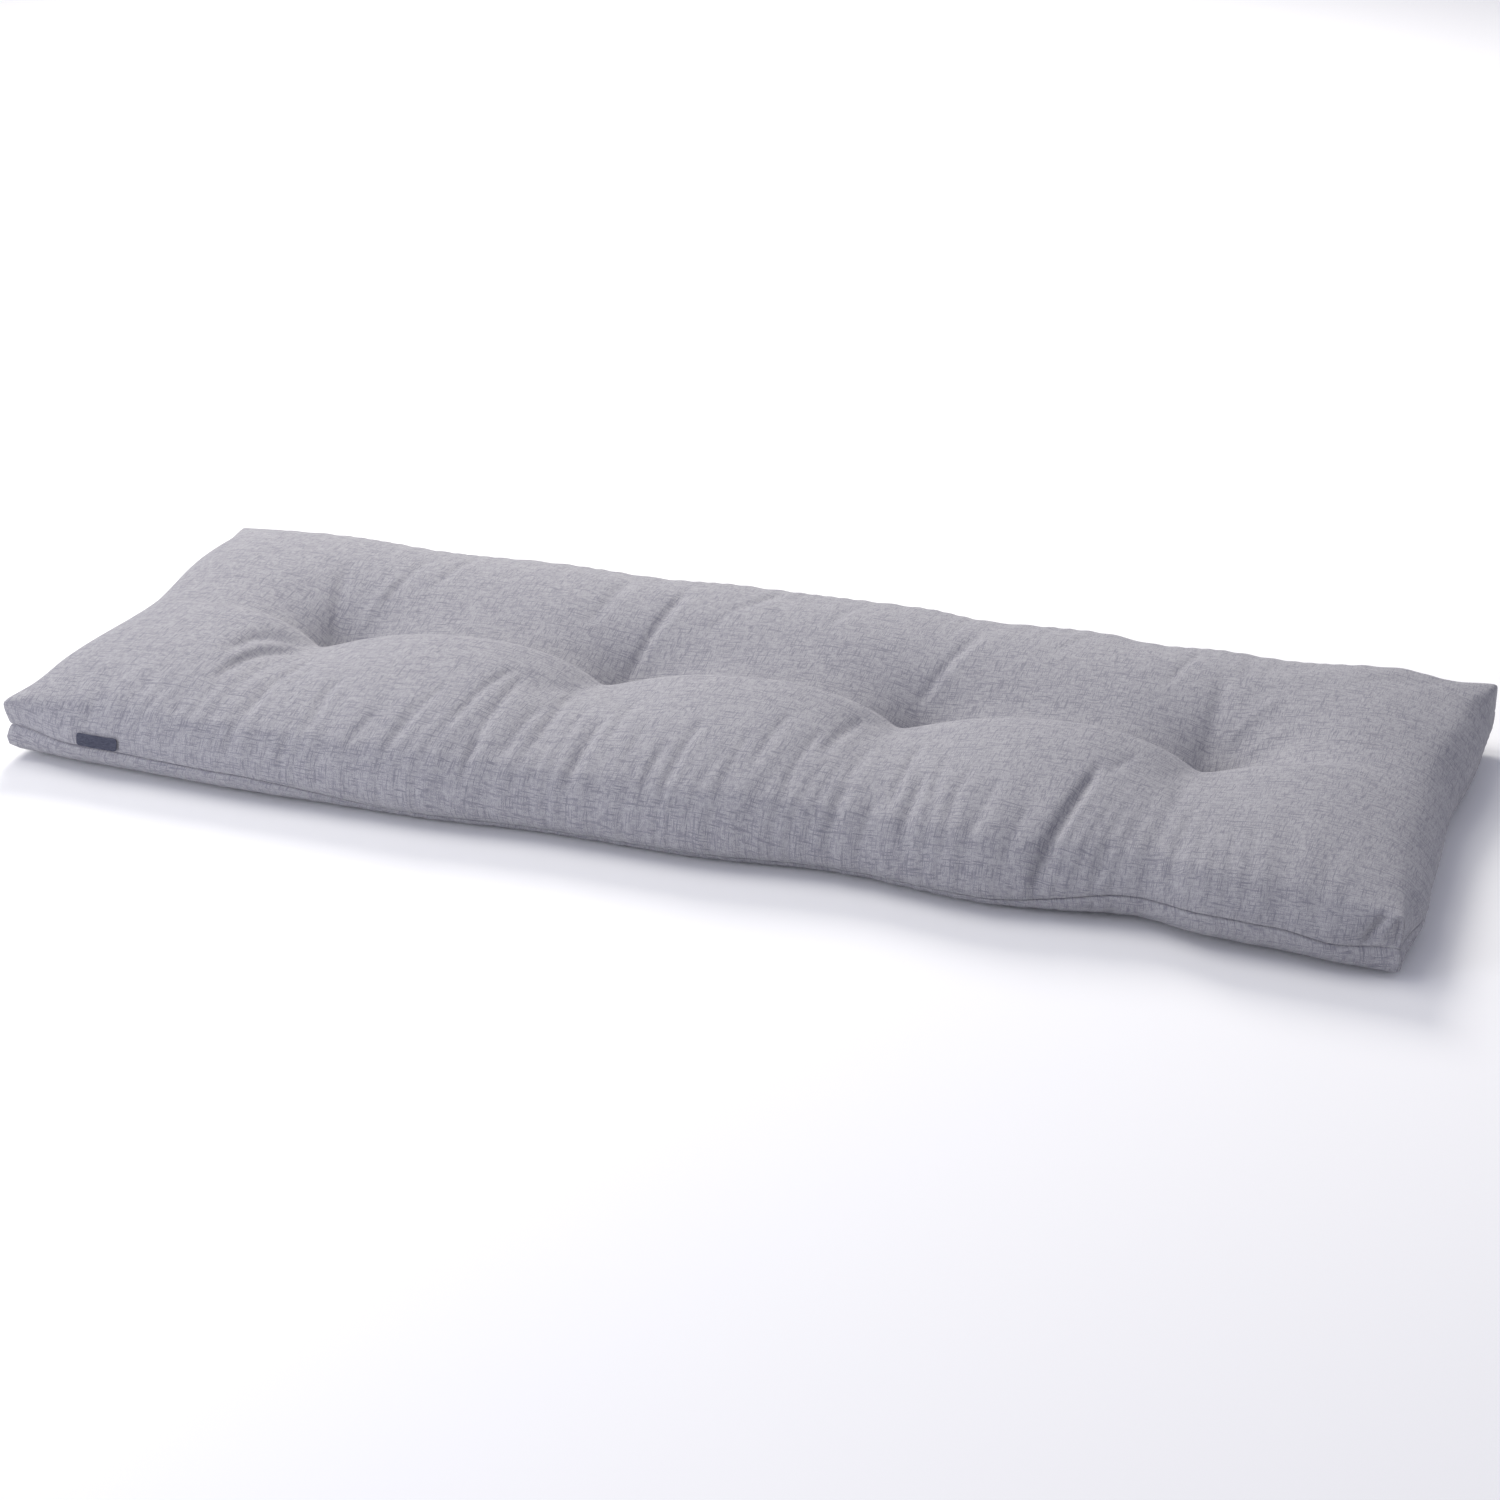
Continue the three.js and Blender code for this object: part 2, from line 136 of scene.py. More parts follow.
# Creases of the cloth: each runs from (x0, y0) through (x1, y1) to (x2, y2), on down the front past the rim.
# A height below zero is a trough and one above it a ridge.
Fold = namedtuple("Fold", "x0 y0 x1 y1 x2 y2 width height")
FOLDS = [
    Fold(-394, -46, -435, -62, -442, -118, 3.8, -1.8),
    Fold(-392, -50, -428, -78, -434, -140, 4, 1),
    Fold(-389, -57, -424, -98, -429, -180, 4.2, -2.6),
    Fold(-374, -75, -381, -145, -381, -208, 4.2, -2.1),
    Fold(-360, -90, -364, -120, -364, -150, 3.8, -1.1),
    Fold(-326, -118, -325, -165, -316, -212, 5, -2.1),
    Fold(-399, -212, -398, -228, -401, -246, 3.5, -1.6),
    Fold(-386, -204, -385, -222, -386, -240, 3.5, -1.2),
    Fold(-448, -168, -445, -195, -444, -216, 3.8, -1),
    Fold(-435, -214, -436, -230, -440, -246, 3.5, -1),
    Fold(-520, -202, -518, -218, -517, -236, 3.5, -1.3),
    Fold(-510, -202, -509, -216, -508, -232, 3.5, -1),
    Fold(-334, -208, -333, -230, -337, -250, 3.5, -1.3),
    Fold(-360, -208, -358, -229, -359, -246, 3.5, -1.1),
    Fold(-270, -168, -276, -195, -282, -230, 3.8, -1.4),
    Fold(-245, -145, -244, -185, -246, -225, 3.8, -1.1),
    Fold(-230, -112, -237, -160, -243, -216, 3.8, -1.4),
    Fold(-186, -64, -199, -112, -203, -188, 4.2, -2.2),
    Fold(-180, -62, -177, -150, -174, -230, 4.2, -1.9),
    Fold(-174, -182, -173, -208, -174, -236, 3.5, -1.8),
    Fold(-137, -50, -132, -115, -123, -202, 5, -2.1),
    Fold(-148, -112, -147, -165, -148, -206, 3.8, -1.1),
    Fold(-88, -116, -85, -168, -83, -226, 4.2, -2.6),
    Fold(-77, -70, -71, -123, -70, -170, 4.2, -1.1),
    Fold(-46, -128, -46, -172, -47, -215, 3.8, -1),
    Fold(-20, -155, -21, -190, -22, -222, 3.8, -1.6),
    Fold(-1, -105, -3, -165, -2, -228, 4, -1.6),
    Fold(43, -122, 42, -164, 41, -212, 3.8, -1.3),
    Fold(64, -72, 60, -130, 61, -186, 4.2, -1.3),
    Fold(96, -86, 92, -142, 92, -196, 4.2, -1.8),
    Fold(118, -38, 109, -92, 106, -140, 5, -2.2),
    Fold(140, -168, 140, -200, 139, -236, 3.8, -1.3),
    Fold(174, -72, 178, -130, 182, -204, 4.2, -1.9),
    Fold(196, -130, 198, -176, 200, -224, 3.8, -1.9),
    Fold(168, -176, 167, -205, 164, -236, 3.8, -1.4),
    Fold(204, -84, 208, -135, 214, -182, 4.2, -1),
    Fold(234, -108, 230, -152, 231, -202, 3.8, -1),
    Fold(258, -128, 257, -171, 253, -220, 3.8, -1),
    Fold(290, -160, 288, -195, 285, -232, 3.8, -1),
    Fold(330, -76, 321, -170, 309, -252, 4.5, -4.6),
    Fold(352, -58, 343, -82, 334, -112, 4, -1.2),
    Fold(323, -196, 321, -212, 320, -236, 3.5, -1.8),
    Fold(366, -182, 362, -202, 360, -226, 3.8, -1.4),
    Fold(410, -150, 414, -190, 416, -232, 4, -1),
    Fold(-398, 8, -415, 50, -436, 118, 6.5, -2.6),
    Fold(-386, 16, -384, 65, -376, 112, 5.5, 1.6),
    Fold(-378, 62, -371, 104, -360, 165, 4.2, -1.3),
    Fold(-342, 82, -335, 122, -327, 176, 4.2, -1.3),
    Fold(-128, 18, -122, 75, -113, 165, 4.6, -3.2),
    Fold(-119, 26, -112, 75, -102, 150, 4.5, 0.7),
    Fold(-180, 70, -176, 112, -170, 180, 6.5, -1.6),
    Fold(-72, 72, -66, 108, -54, 150, 5, -1),
    Fold(-58, 120, -47, 150, -34, 188, 5, -1.8),
    Fold(30, 110, 36, 145, 44, 182, 4.2, -1),
    Fold(133, 34, 146, 85, 162, 145, 4.5, -1.9),
    Fold(144, 42, 157, 85, 173, 145, 4, 0.6),
    Fold(232, 115, 240, 150, 250, 185, 4.2, -1),
    Fold(391, 22, 388, 60, 382, 145, 7, -2.2),
    Fold(402, 38, 417, 72, 444, 110, 4, 1),
    Fold(408, 30, 422, 56, 448, 88, 4, -0.5),
    Fold(419, 24, 433, 42, 458, 62, 4, 0.8),
    Fold(337, 94, 345, 134, 350, 186, 4.2, -1.3),
    Fold(572, -258, 577, -242, 588, -216, 3.4, -4.5),
    Fold(580, -256, 586, -240, 594, -220, 3.4, 2.2),
    Fold(594, -224, 595, -244, 595, -276, 2.6, -3.2),
]

# A crease is a path of straight steps. It tapers over a share of its length at both ends, and it is felt
# within so many widths of the path.
FOLD_STEPS = 8
FOLD_TAPER = 0.25
FOLD_REACH = 3

# Before the cover settles, every crease is a wide and shallow one.
WIDE_FOLD = {"widening": 2.4, "share": 0.35}

# Puckers on both sides of the seam, and how near to it the cloth lies without relief.
PUCKER = {"depth": 0.5, "short": 11, "long": 83, "sway": 1.8, "reach": 16}
SEAM_MARGIN = 10

# Gathers along the long sides: waves across the cloth that draw together towards the tufts and fade out.
GATHER = {"front": 0.9, "back": 0.55, "fan": 0.6, "reach": 0.8, "fall": 80, "quiet_ends": 110}
GATHER_WAVES = {"short": 20, "middle": 113, "long": 407, "middle_sway": 2.6, "long_sway": 3.1}

# The cover settles over its filling. It is cut longer than the sewn shape by the spare share. Of its movement
# the folds are kept in full and the wide swelling in part.
SETTLE = {
    "steps": 28, "quality": 6, "mass": 0.3, "pressure": 0.4, "spare": 0.05, "stiffness": 20, "shear": 20 / 3,
    "bending": 0.05, "spread": 60, "swelling": 0.2,
}

# Reach of the sewing that holds the cover, around a tuft and from a corner.
HELD = {"tuft": 8, "corner": 12}

# The label lies on the front just above the seam. Its corners are rounded.
LABEL = {"clearance": 0.5, "thickness": 1.0, "columns": 39, "rows": 8, "edge": 0.25, "round": 2.5}

# A tuft is held by two strands side by side that dive into the cloth at both ends.
STITCH = {"length": 13, "radius": 0.8, "apart": 1.7, "arch": 1.6, "sink": 2.4, "steps": 12, "sides": 8}

# Camera of the photograph: degrees, metres, and the lens and sensor in millimetres.
CAMERA = {"azimuth": 19.49, "elevation": 24.91, "distance": 3.071, "lens": 85.5, "sensor": 36}
CAMERA_TARGET = Vector((-0.0045, -0.0008, 0.0049))

# Studio lights, in metres and watts, all aimed at the middle of the floor.
Light = namedtuple("Light", "name place size power colour")
LIGHTS = [
    Light("overhead", (-1.3, 0.1, 2.9), 2.6, 42, (1, 0.98, 0.93)),
    Light("key", (-1.1, 2.2, 1.7), 1.2, 66, (1, 0.97, 0.91)),
    Light("fill", (-1.2, -1.5, 0.7), 1.0, 11, (0.9, 0.91, 1)),
]
SKY = {"colour": (0.84, 0.85, 1.0, 1), "strength": 0.49}
FLOOR = {"reach": 12, "colour": (0.93, 0.93, 0.93, 1), "roughness": 0.9}


def mix(a, b, t):
    return a + (b - a) * t


def smooth(t):
    u = np.clip(t, 0, 1)
    return u * u * (3 - 2 * u)


def shoulder(t):
    """Share of the climb from the rim to the crown, at a share of the shoulder's width."""
    u = np.clip(t, 0, 1)
    return (1 - (1 - u) ** 2) ** SHOULDER_POWER


def side_stand(side, places):
    """How far a side stands out, and how much higher its rim and seam are, at places along it."""
    table = SIDES[side]
    at = np.array([row.at for row in table])
    k = np.clip(np.searchsorted(at, places), 1, len(at) - 1)
    t = smooth((places - at[k - 1]) / (at[k] - at[k - 1]))
    out = np.array([row.out for row in table])
    up = np.array([row.up for row in table])
    seam = np.array([row.seam for row in table])
    return mix(out[k - 1], out[k], t), mix(up[k - 1], up[k], t), mix(seam[k - 1], seam[k], t)


def quarter_turns(x, y, turns):
    """Turns places anticlockwise about the middle."""
    for _ in range(turns):
        x, y = -y, x
    return x, y


def border_points(row, side, t):
    """Points of a border row, t from -1 to 1 along a side. The sides follow one another round the outline."""
    half, reach = (LENGTH / 2, DEPTH / 2) if side % 2 == 0 else (DEPTH / 2, LENGTH / 2)
    corner = (side + (t > 0)) % len(CORNERS)
    low, high, pinch = (np.array(column)[corner] for column in zip(*CORNERS))
    corner_inset = row.corner_inset + pinch * row.pinch
    corner_height = low * row.lift + (high - low) * row.rise
    along = t * (half - corner_inset)
    opening = smooth((1 - np.abs(t)) * half / CORNER_RUN)
    out, up, seam = side_stand(side, along if side < 2 else -along)
    side_inset = row.side_inset + row.tuck * np.maximum(-seam, 0)
    side_height = row.side_height + up * row.rise + seam * row.follow
    away = reach - mix(corner_inset, side_inset, opening) + out * opening
    height = mix(corner_height, side_height, opening)
    x, y = quarter_turns(along, -away, side)
    return np.stack([x, y, height], axis=-1)


def pit(x, y, tuft, reach):
    """Share of a pit's depth that is left at a place, for one tuft and the pit's reach."""
    along = (x - tuft.x) / np.where(x < tuft.x, reach["left"], reach["right"])
    across = y / np.where(y < 0, reach["front"], reach["back"])
    return np.exp(-np.hypot(along, across))


def tuft_pull(x, y):
    """How far the tufts and the valley pull the top down, less the height of the puffs."""
    in_row = 1 / (1 + np.exp((np.abs(x) - VALLEY["end"]) / VALLEY["fade"]))
    valley = VALLEY["depth"] * in_row * np.exp(-((y / np.where(y < 0, VALLEY["front"], VALLEY["back"])) ** 2))
    pits = [tuft.pit * pit(x, y, tuft, PIT_REACH) + tuft.nip * pit(x, y, tuft, NIP_REACH) for tuft in TUFTS]
    between = np.sin(np.pi * (x - TUFTS[0].x) / TUFT_SPACING) ** 2 * (np.abs(x) < TUFTS[-1].x)
    puff = PUFF["height"] * between * np.exp(-(((y + PUFF["front"]) / PUFF["reach"]) ** 2))
    return valley - puff + np.max(pits, axis=0)


def column_places():
    """Places from -1 to 1 along the length, evenly spaced from tuft to tuft."""
    stations = [-LENGTH / 2, *(tuft.x for tuft in TUFTS), LENGTH / 2]
    counts = [END_COLUMNS, *[SPAN_COLUMNS] * (len(TUFTS) - 1), END_COLUMNS]
    runs = [np.linspace(a, b, n, endpoint=False) for a, b, n in zip(stations, stations[1:], counts)]
    return np.append(np.concatenate(runs), LENGTH / 2) / (LENGTH / 2)


def row_places():
    """Places from -1 to 1 across the depth, closer at the sides and in the middle."""
    even = np.linspace(-1, 1, ROWS + 1)
    return even - ROW_CROWDING * np.sin(2 * np.pi * even) / (2 * np.pi)


def patch(ring, s, t):
    """Points spread between the four stretches of a closed ring: columns at s along X, rows at t along Y."""
    last_column, last_row = len(s) - 1, len(t) - 1
    front = ring[: last_column + 1]
    right = ring[last_column : last_column + last_row + 1]
    back = ring[last_column + last_row : 2 * last_column + last_row + 1][::-1]
    left = np.vstack([ring[2 * last_column + last_row :], ring[:1]])[::-1]
    u = ((s + 1) / 2)[:, None, None]
    v = ((t + 1) / 2)[None, :, None]
    ends = mix(left[None], right[None], u)
    sides = mix(front[:, None], back[:, None], v)
    corners = mix(mix(front[0], front[-1], u), mix(back[0], back[-1], u), v)
    return ends + sides - corners


def ring_strip(lower, upper):
    """Quads between two closed rings of point numbers."""
    return np.stack([lower, np.roll(lower, -1), np.roll(upper, -1), upper], axis=1)


def grid_quads(grid):
    """Quads of a grid of point numbers."""
    return np.stack([grid[:-1, :-1], grid[1:, :-1], grid[1:, 1:], grid[:-1, 1:]], axis=-1).reshape(-1, 4)


class Skin:
    """Points and faces of a mesh. Each face corner has its place on the flat cloth, each point its drop below
    the rim, and named groups hold point numbers."""

    def __init__(self):
        self.points = np.empty((0, 3))
        self.drops = []
        self.faces = []
        self.cloth = []
        self.groups = {}

    def add_points(self, points, drop=0):
        flat = points.reshape(-1, 3)
        first = len(self.points)
        self.points = np.vstack([self.points, flat])
        self.drops.extend([drop] * len(flat))
        return np.arange(first, first + len(flat)).reshape(points.shape[:-1])

    def add_faces(self, faces, cloth):
        self.faces.extend(faces.tolist())
        self.cloth.append(cloth.reshape(-1, 2))

    def fill(self, ring, points):
        """Point numbers of a patch of points whose edge is a closed ring that the skin already has."""
        grid = np.empty(points.shape[:2], int)
        grid[1:-1, 1:-1] = self.add_points(points[1:-1, 1:-1])
        last_column, last_row = grid.shape[0] - 1, grid.shape[1] - 1
        front, right, back, left = np.split(ring, np.cumsum([last_column, last_row, last_column]))
        grid[:-1, 0] = front
        grid[-1, :-1] = right
        grid[:0:-1, -1] = back
        grid[0, :0:-1] = left
        return grid

    def to_object(self, name):
        mesh = bpy.data.meshes.new(name)
        mesh.from_pydata((self.points * MM).tolist(), [], self.faces)
        layer = mesh.uv_layers.new(name="cloth")
        layer.data.foreach_set("uv", (np.vstack(self.cloth) * MM).astype(np.float32).ravel())
        mesh.attributes.new("drop", "FLOAT", "POINT").data.foreach_set("value", self.drops)
        mesh.shade_smooth()
        return add_object(name, mesh)


def add_object(name, data):
    made = bpy.data.objects.new(name, data)
    bpy.context.scene.collection.objects.link(made)
    return made


def border_drops():
    """Cloth between the rim and each border row, measured down the middle of a side."""
    inset = np.array([row.side_inset for row in BORDER], float)
    height = np.array([row.side_height for row in BORDER], float)
    steps = np.hypot(np.diff(inset), np.diff(height))
    return np.append(np.cumsum(steps[::-1])[::-1], 0)


SEAM_DROP = border_drops()[SEAM_ROW]


def add_border(skin, columns, rows):
    """The border rows as rings of points, and the strips between them."""
    side_places = [columns, rows, -columns[::-1], -rows[::-1]]
    rings = []
    for row in BORDER:
        rings.append(np.vstack([border_points(row, side, t[:-1]) for side, t in enumerate(side_places)]))
    drops = border_drops()
    numbers = [skin.add_points(ring, drop) for ring, drop in zip(rings, drops)]
    side_of = np.repeat(np.arange(len(SIDES)), [len(t) - 1 for t in side_places])
    outward = np.array([(0, -1), (1, 0), (0, 1), (-1, 0)])[side_of]
    rim = rings[-1][:, :2]
    rim_next = np.roll(rim, -1, axis=0)
    for k in range(len(BORDER) - 1):
        lower, upper = outward * drops[k], outward * drops[k + 1]
        cloth = np.stack([rim + lower, rim_next + lower, rim_next + upper, rim + upper], axis=1)
        skin.add_faces(ring_strip(numbers[k], numbers[k + 1]), cloth)
    corners = np.cumsum([0, *(len(t) - 1 for t in side_places[:-1])])
    upright = numbers[ROW_NAMES.index("lower face") :]
    skin.groups["seam"] = numbers[SEAM_ROW]
    skin.groups["seam allowance"] = np.concatenate(numbers[SEAM_ROW - 1 : SEAM_ROW + 2])
    skin.groups["corners"] = np.concatenate([ring[corners] for ring in upright])
    return numbers


def add_top(skin, rim, columns, rows):
    """The crowned top, pulled down by the tufts."""
    top = patch(skin.points[rim], columns, rows)
    s, t = columns[:, None], rows[None, :]
    end_gap = (1 - np.abs(s)) * LENGTH / 2
    side_gap = (1 - np.abs(t)) * DEPTH / 2
    end_shoulder = np.where(s < 0, END_SHOULDER["left"], END_SHOULDER["right"])
    climb = shoulder(end_gap / end_shoulder) * shoulder(side_gap / SIDE_SHOULDER)
    pull = tuft_pull(top[..., 0], top[..., 1])
    top[..., 2] = mix(top[..., 2], CROWN, climb) - climb * pull
    quads = grid_quads(skin.fill(rim, top))
    skin.add_faces(quads, skin.points[quads][..., :2])


def add_underside(skin, edge, columns, rows):
    """The flat underside with its dimples. Each ring inwards has half the points of the one outside it."""
    first = len(skin.points)
    aside = np.array([LENGTH * UNDERSIDE_ASIDE, 0])
    ring = edge
    for share_x, share_y in UNDERSIDE_STEPS:
        step = len(edge) // len(ring) * 2
        inner = skin.add_points(skin.points[edge[::step]] * (share_x, share_y, 1))
        a, b, c = ring[::2], ring[1::2], np.roll(ring, -1)[1::2]
        p, q = inner, np.roll(inner, -1)
        for triangle in ((a, p, b), (b, p, q), (b, q, c)):
            faces = np.stack(triangle, axis=1)
            skin.add_faces(faces, skin.points[faces][..., :2] + aside)
        ring = inner
    floor = patch(skin.points[ring], columns[::step], rows[::step])
    for tuft in TUFTS:
        away = np.hypot(floor[..., 0] - tuft.x, floor[..., 1])
        floor[..., 2] += DIMPLE["height"] * (1 - smooth(away / DIMPLE["radius"]))
    quads = grid_quads(skin.fill(ring, floor))[:, ::-1]
    skin.add_faces(quads, skin.points[quads][..., :2] + aside)
    skin.groups["underside"] = np.arange(first, len(skin.points))


def cover():
    """The sewn cover: border rows, crowned top and dimpled underside."""
    columns, rows = column_places(), row_places()
    skin = Skin()
    rings = add_border(skin, columns, rows)
    add_top(skin, rings[-1], columns, rows)
    add_underside(skin, rings[0], columns, rows)
    skin.groups["floor"] = np.concatenate([rings[0], rings[1], skin.groups["underside"]])
    return skin


def fold_relief(fold, width, cloth):
    """Height that one fold adds at places on the cloth, tapering to nothing at both ends of its path."""
    start, through, end = (np.array(p, float) for p in (fold[0:2], fold[2:4], fold[4:6]))
    bend = 2 * through - (start + end) / 2
    k = np.linspace(0, 1, FOLD_STEPS + 1)[:, None]
    path = (1 - k) ** 2 * start + 2 * k * (1 - k) * bend + k**2 * end
    nearest = np.full(len(cloth), np.inf)
    along = np.zeros(len(cloth))
    for step in range(FOLD_STEPS):
        a, run = path[step], path[step + 1] - path[step]
        t = np.clip((cloth - a) @ run / (run @ run), 0, 1)
        gap = np.linalg.norm(cloth - a - t[:, None] * run, axis=1)
        closer = gap < nearest
        nearest = np.where(closer, gap, nearest)
        along = np.where(closer, (step + t) / FOLD_STEPS, along)
    taper = smooth(np.minimum(along, 1 - along) / FOLD_TAPER)
    return fold.height * taper * np.exp(-((nearest / width) ** 2))


def folds_relief(cloth, widening=1):
    """Height of all the folds at places on the cloth."""
    height = np.zeros(len(cloth))
    for fold in FOLDS:
        width = fold.width * widening
        margin = FOLD_REACH * width
        xs, ys = (fold.x0, fold.x1, fold.x2), (fold.y0, fold.y1, fold.y2)
        near = (cloth[:, 0] > min(xs) - margin) & (cloth[:, 0] < max(xs) + margin)
        near &= (cloth[:, 1] > min(ys) - margin) & (cloth[:, 1] < max(ys) + margin)
        height[near] += fold_relief(fold, width, cloth[near])
    return height


def gathers(cloth):
    """Height of the small gathers at places on the cloth."""
    x, y = cloth.T
    inward = np.clip(1 - np.abs(y) / (DEPTH / 2), 0, 1)
    from_tuft = TUFT_SPACING / (2 * np.pi) * np.sin(2 * np.pi * (x - TUFTS[0].x) / TUFT_SPACING)
    pull = GATHER["fan"] * inward
    at_edge = x + from_tuft * pull / (1 - pull)
    turn = 2 * np.pi * at_edge
    sway = GATHER_WAVES["middle_sway"] * np.sin(turn / GATHER_WAVES["middle"])
    sway += GATHER_WAVES["long_sway"] * np.sin(turn / GATHER_WAVES["long"])
    wave = np.sin(turn / GATHER_WAVES["short"] + sway)
    quiet = smooth((LENGTH / 2 - np.abs(x)) / GATHER["quiet_ends"])
    over = 1 - smooth((np.abs(y) - DEPTH / 2) / GATHER["fall"])
    depth = np.where(y < 0, GATHER["front"], GATHER["back"])
    return depth * wave * quiet * over * (1 - smooth(inward / GATHER["reach"]))


def puckers(cloth, drop):
    """Height of the small puckers that the stitching draws up on both sides of the seam."""
    x, y = cloth.T
    run = np.where(np.abs(y) - DEPTH / 2 > np.abs(x) - LENGTH / 2, x, y)
    turn = 2 * np.pi * run
    sway = PUCKER["sway"] * np.sin(turn / PUCKER["long"])
    fall = np.exp(-(((drop - SEAM_DROP) / PUCKER["reach"]) ** 2))
    return PUCKER["depth"] * np.sin(turn / PUCKER["short"] + sway) * fall


def off_seam(drop):
    """Share of relief that the cloth takes at a drop below the rim: none at the seam itself."""
    return smooth(np.abs(drop - SEAM_DROP) / SEAM_MARGIN)


def edge_ends(mesh):
    ends = np.empty(len(mesh.edges) * 2, int)
    mesh.edges.foreach_get("vertices", ends)
    return ends.reshape(-1, 2)


def sharpen(mesh, groups):
    """Keeps the seam and the upright corner edges crisp when the cover is refined."""
    ends = edge_ends(mesh)
    sharp = np.isin(ends, groups["seam"]).all(axis=1) | np.isin(ends, groups["corners"]).all(axis=1)
    mesh.attributes.new("crease_edge", "FLOAT", "EDGE").data.foreach_set("value", sharp.astype(np.float32))


def spread_out(values, mesh, rounds):
    """Averages the vertices' values with their neighbours', again and again."""
    a, b = edge_ends(mesh).T
    size = len(values)
    count = (np.bincount(a, minlength=size) + np.bincount(b, minlength=size))[:, None]
    for _ in range(rounds):
        total = np.stack([
            np.bincount(a, values[b, axis], size) + np.bincount(b, values[a, axis], size) for axis in range(3)
        ], axis=1)
        values = (values + total / count) / 2
    return values


def held_points(skin):
    """Points that the sewing or the floor holds: the seam, the corners, the tufts and the underside."""
    x, y = np.abs(skin.points[:, 0]), np.abs(skin.points[:, 1])
    held = (x > LENGTH / 2 - HELD["corner"]) & (y > DEPTH / 2 - HELD["corner"])
    for tuft in TUFTS:
        held |= np.hypot(skin.points[:, 0] - tuft.x, y) < HELD["tuft"]
    held[skin.groups["seam allowance"]] = True
    held[skin.groups["floor"]] = True
    return np.flatnonzero(held).tolist()


def settle(obj, held):
    """Lets the filling press the cover out, so that its spare cloth buckles into folds."""
    before = vertex_array(obj.data, "co")
    obj.shape_key_add(name="sewn")
    cut = obj.shape_key_add(name="cut")
    size = np.array([1 + SETTLE["spare"], 1, 1])
    cut.data.foreach_set("co", (before * size).astype(np.float32).ravel())
    obj.vertex_groups.new(name="held").add(held, 1.0, "REPLACE")
    cloth = obj.modifiers.new("cloth", "CLOTH")
    settings = cloth.settings
    settings.rest_shape_key = cut
    settings.quality = SETTLE["quality"]
    settings.mass = SETTLE["mass"]
    settings.tension_stiffness = SETTLE["stiffness"]
    settings.compression_stiffness = SETTLE["stiffness"]
    settings.shear_stiffness = SETTLE["shear"]
    settings.bending_stiffness = SETTLE["bending"]
    settings.vertex_group_mass = "held"
    settings.effector_weights.gravity = 0
    settings.use_pressure = True
    settings.uniform_pressure_force = SETTLE["pressure"]
    cloth.collision_settings.use_collision = False
    cloth.point_cache.frame_end = SETTLE["steps"]
    for step in range(1, SETTLE["steps"] + 1):
        bpy.context.scene.frame_set(step)
    bake_modifiers(obj)
    moved = vertex_array(obj.data, "co") - before
    swelling = spread_out(moved, obj.data, SETTLE["spread"])
    place_vertices(obj.data, before + swelling * SETTLE["swelling"] + (moved - swelling))


def refine(obj):
    """Subdivides a mesh once."""
    finer = obj.modifiers.new("finer", "SUBSURF")
    finer.levels = 1
    finer.render_levels = 1
    finer.uv_smooth = "NONE"
    bake_modifiers(obj)


def bake_modifiers(obj):
    """Replaces an object's mesh by what its modifiers make of it."""
    depsgraph = bpy.context.evaluated_depsgraph_get()
    mesh = bpy.data.meshes.new_from_object(obj.evaluated_get(depsgraph))
    obj.modifiers.clear()
    obj.data = mesh


def vertex_array(mesh, field):
    values = np.empty(len(mesh.vertices) * 3, np.float32)
    mesh.vertices.foreach_get(field, values)
    return values.reshape(-1, 3).astype(float)


def place_vertices(mesh, points):
    mesh.vertices.foreach_set("co", points.astype(np.float32).ravel())
    mesh.update()


def cloth_places(mesh):
    """Place on the flat cloth of every vertex, in millimetres."""
    uv = np.empty(len(mesh.loops) * 2, np.float32)
    mesh.uv_layers["cloth"].data.foreach_get("uv", uv)
    owner = np.empty(len(mesh.loops), int)
    mesh.loops.foreach_get("vertex_index", owner)
    places = np.zeros((len(mesh.vertices), 2))
    places[owner] = uv.reshape(-1, 2) / MM
    return places


def cloth_drops(mesh):
    """Cloth between the rim and every vertex below it, in millimetres."""
    drops = np.empty(len(mesh.vertices), np.float32)
    mesh.attributes["drop"].data.foreach_get("value", drops)
    return drops.astype(float)


def emboss(obj, height):
    """Raises vertices along their normals, in millimetres. The seam holds them and the floor stops them."""
    raised = height * off_seam(cloth_drops(obj.data)) * MM
    points = vertex_array(obj.data, "co") + vertex_array(obj.data, "normal") * raised[:, None]
    points[:, 2] = np.maximum(points[:, 2], 0)
    place_vertices(obj.data, points)


def make_cushion():
    skin = cover()
    cushion = skin.to_object("bench_cushion")
    sharpen(cushion.data, skin.groups)
    cushion.data.transform(Matrix.Translation(Vector(MIDDLE) * MM))
    places = cloth_places(cushion.data)
    emboss(cushion, WIDE_FOLD["share"] * folds_relief(places, WIDE_FOLD["widening"]) + gathers(places))
    settle(cushion, held_points(skin))
    refine(cushion)
    places = cloth_places(cushion.data)
    emboss(cushion, folds_relief(places) + puckers(places, cloth_drops(cushion.data)))
    cushion.data.materials.append(cloth_material())
    return cushion


def surface_of(obj):
    """The faces of an object for casting rays on, in the frame's metres."""
    faces = [tuple(face.vertices) for face in obj.data.polygons]
    return BVHTree.FromPolygons([vertex.co for vertex in obj.data.vertices], faces)


